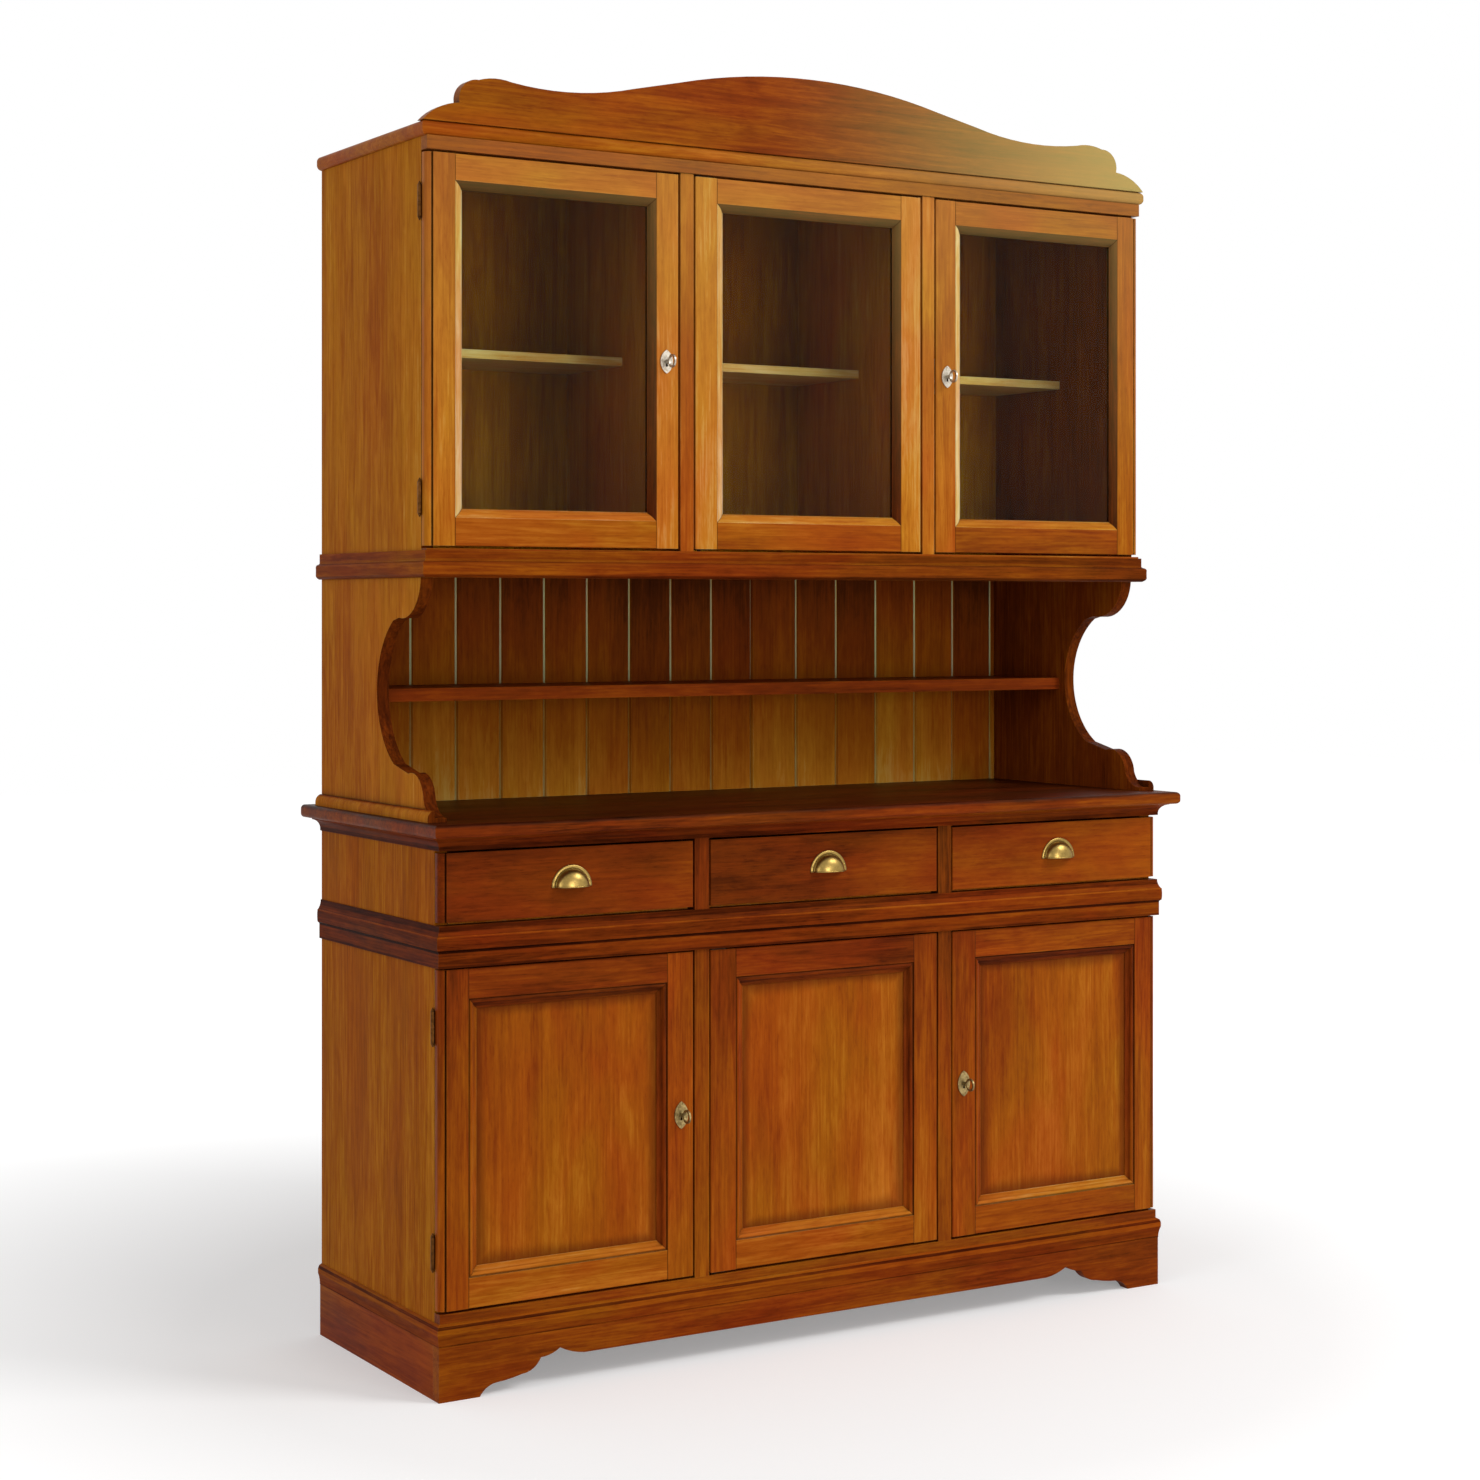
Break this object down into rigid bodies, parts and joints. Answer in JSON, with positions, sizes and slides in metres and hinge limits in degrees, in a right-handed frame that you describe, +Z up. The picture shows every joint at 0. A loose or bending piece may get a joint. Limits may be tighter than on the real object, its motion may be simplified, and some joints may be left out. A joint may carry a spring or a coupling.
{
  "type": "dresser with hutch",
  "caption": "Wooden dresser: a base with panelled doors and drawers, and a glazed hutch over an open display shelf, with scrolled sides and a curved pediment.",
  "frame": {"origin": "on the floor, under the middle of the whole piece", "axes": "+Z up, fronts facing -Y, +X to the viewer's right"},
  "size_m": [1.522, 0.552, 2.185],
  "materials": {
    "wood": "satin",
    "inner_wood": "satin",
    "glass": "gloss",
    "brass": "satin",
    "nickel": "satin",
    "steel": "satin"
  },
  "bodies": {
    "carcass": {"plinth": "wood", "plinth_moulding": "wood", "base_side_left": "wood", "base_side_right": "wood", "base_floor": "inner_wood", "base_back": "inner_wood", "drawer_deck": "inner_wood", "base_dividers": "inner_wood", "base_shelves": "inner_wood", "base_face_frame": "wood", "belt_moulding": "wood", "cove_moulding": "wood", "base_top": "wood", "hutch_side_left": "wood", "hutch_side_right": "wood", "matchboard_back": "wood", "hutch_floor": "inner_wood", "hutch_back": "inner_wood", "hutch_dividers": "inner_wood", "hutch_shelves": "wood", "hutch_face_frame": "wood", "waist_moulding": "wood", "hutch_top": "wood", "pediment": "wood", "carcass_hinge_halves": "brass"},
    "lower_left_door": {"lower_door_left_frame": "wood", "lower_panel_left": "wood", "lower_door_left_hardware": "brass"},
    "lower_left_key": {"lower_key_left": "brass"},
    "lower_left_bolt": {"lower_bolt_left": "steel"},
    "lower_mid_door": {"lower_door_mid_frame": "wood", "lower_panel_mid": "wood", "lower_door_mid_hardware": "brass"},
    "lower_right_door": {"lower_door_right_frame": "wood", "lower_panel_right": "wood", "lower_door_right_hardware": "brass"},
    "lower_right_key": {"lower_key_right": "brass"},
    "lower_right_bolt": {"lower_bolt_right": "steel"},
    "upper_left_door": {"upper_door_left_frame": "wood", "glass_left": "glass", "upper_door_left_hardware": "nickel"},
    "upper_left_key": {"upper_key_left": "nickel"},
    "upper_left_bolt": {"upper_bolt_left": "steel"},
    "upper_mid_door": {"upper_door_mid_frame": "wood", "glass_mid": "glass", "upper_door_mid_hardware": "nickel"},
    "upper_right_door": {"upper_door_right_frame": "wood", "glass_right": "glass", "upper_door_right_hardware": "nickel"},
    "upper_right_key": {"upper_key_right": "nickel"},
    "upper_right_bolt": {"upper_bolt_right": "steel"},
    "left_drawer": {"drawer_front_left": "wood", "drawer_box_left": "inner_wood", "cup_pull_left": "brass"},
    "mid_drawer": {"drawer_front_mid": "wood", "drawer_box_mid": "inner_wood", "cup_pull_mid": "brass"},
    "right_drawer": {"drawer_front_right": "wood", "drawer_box_right": "inner_wood", "cup_pull_right": "brass"}
  },
  "joints": [
    {"name": "lower_left_door_hinge", "type": "hinge", "parent": "carcass", "child": "lower_left_door", "pos_m": [-0.7384, -0.217, 0], "axis": [0, 0, -1], "range_deg": [0, 170]},
    {"name": "lower_left_key_turn", "type": "hinge", "parent": "lower_left_door", "child": "lower_left_key", "pos_m": [-0.29167, -0.236, 0.415], "axis": [0, -1, 0], "range_deg": [0, 90]},
    {"name": "lower_left_bolt_slide", "type": "slide", "parent": "lower_left_door", "child": "lower_left_bolt", "axis": [1, 0, 0], "range_m": [0, 0.008]},
    {"name": "lower_mid_door_pivot", "type": "hinge", "parent": "carcass", "child": "lower_mid_door", "pos_m": [-0.22367, -0.229, 0], "axis": [0, 0, -1], "range_deg": [0, 110]},
    {"name": "lower_right_door_hinge", "type": "hinge", "parent": "carcass", "child": "lower_right_door", "pos_m": [0.7384, -0.217, 0], "axis": [0, 0, 1], "range_deg": [0, 170]},
    {"name": "lower_right_key_turn", "type": "hinge", "parent": "lower_right_door", "child": "lower_right_key", "pos_m": [0.29167, -0.236, 0.415], "axis": [0, 1, 0], "range_deg": [0, 90]},
    {"name": "lower_right_bolt_slide", "type": "slide", "parent": "lower_right_door", "child": "lower_right_bolt", "axis": [-1, 0, 0], "range_m": [0, 0.008]},
    {"name": "upper_left_door_hinge", "type": "hinge", "parent": "carcass", "child": "upper_left_door", "pos_m": [-0.7384, -0.167, 0], "axis": [0, 0, -1], "range_deg": [0, 170]},
    {"name": "upper_left_key_turn", "type": "hinge", "parent": "upper_left_door", "child": "upper_left_key", "pos_m": [-0.29133, -0.186, 1.68], "axis": [0, -1, 0], "range_deg": [0, 90]},
    {"name": "upper_left_bolt_slide", "type": "slide", "parent": "upper_left_door", "child": "upper_left_bolt", "axis": [1, 0, 0], "range_m": [0, 0.008]},
    {"name": "upper_mid_door_pivot", "type": "hinge", "parent": "carcass", "child": "upper_mid_door", "pos_m": [-0.22383, -0.179, 0], "axis": [0, 0, -1], "range_deg": [0, 110]},
    {"name": "upper_right_door_hinge", "type": "hinge", "parent": "carcass", "child": "upper_right_door", "pos_m": [0.7384, -0.167, 0], "axis": [0, 0, 1], "range_deg": [0, 170]},
    {"name": "upper_right_key_turn", "type": "hinge", "parent": "upper_right_door", "child": "upper_right_key", "pos_m": [0.29133, -0.186, 1.68], "axis": [0, 1, 0], "range_deg": [0, 90]},
    {"name": "upper_right_bolt_slide", "type": "slide", "parent": "upper_right_door", "child": "upper_right_bolt", "axis": [-1, 0, 0], "range_m": [0, 0.008]},
    {"name": "left_drawer_slide", "type": "slide", "parent": "carcass", "child": "left_drawer", "axis": [0, -1, 0], "range_m": [0, 0.3]},
    {"name": "mid_drawer_slide", "type": "slide", "parent": "carcass", "child": "mid_drawer", "axis": [0, -1, 0], "range_m": [0, 0.3]},
    {"name": "right_drawer_slide", "type": "slide", "parent": "carcass", "child": "right_drawer", "axis": [0, -1, 0], "range_m": [0, 0.3]}
  ],
  "couplings": [
    {"joint": "lower_left_bolt_slide", "follows": "lower_left_key_turn", "m_per_rad": 0.00509},
    {"joint": "lower_right_bolt_slide", "follows": "lower_right_key_turn", "m_per_rad": 0.00509},
    {"joint": "upper_left_bolt_slide", "follows": "upper_left_key_turn", "m_per_rad": 0.00509},
    {"joint": "upper_right_bolt_slide", "follows": "upper_right_key_turn", "m_per_rad": 0.00509}
  ]
}
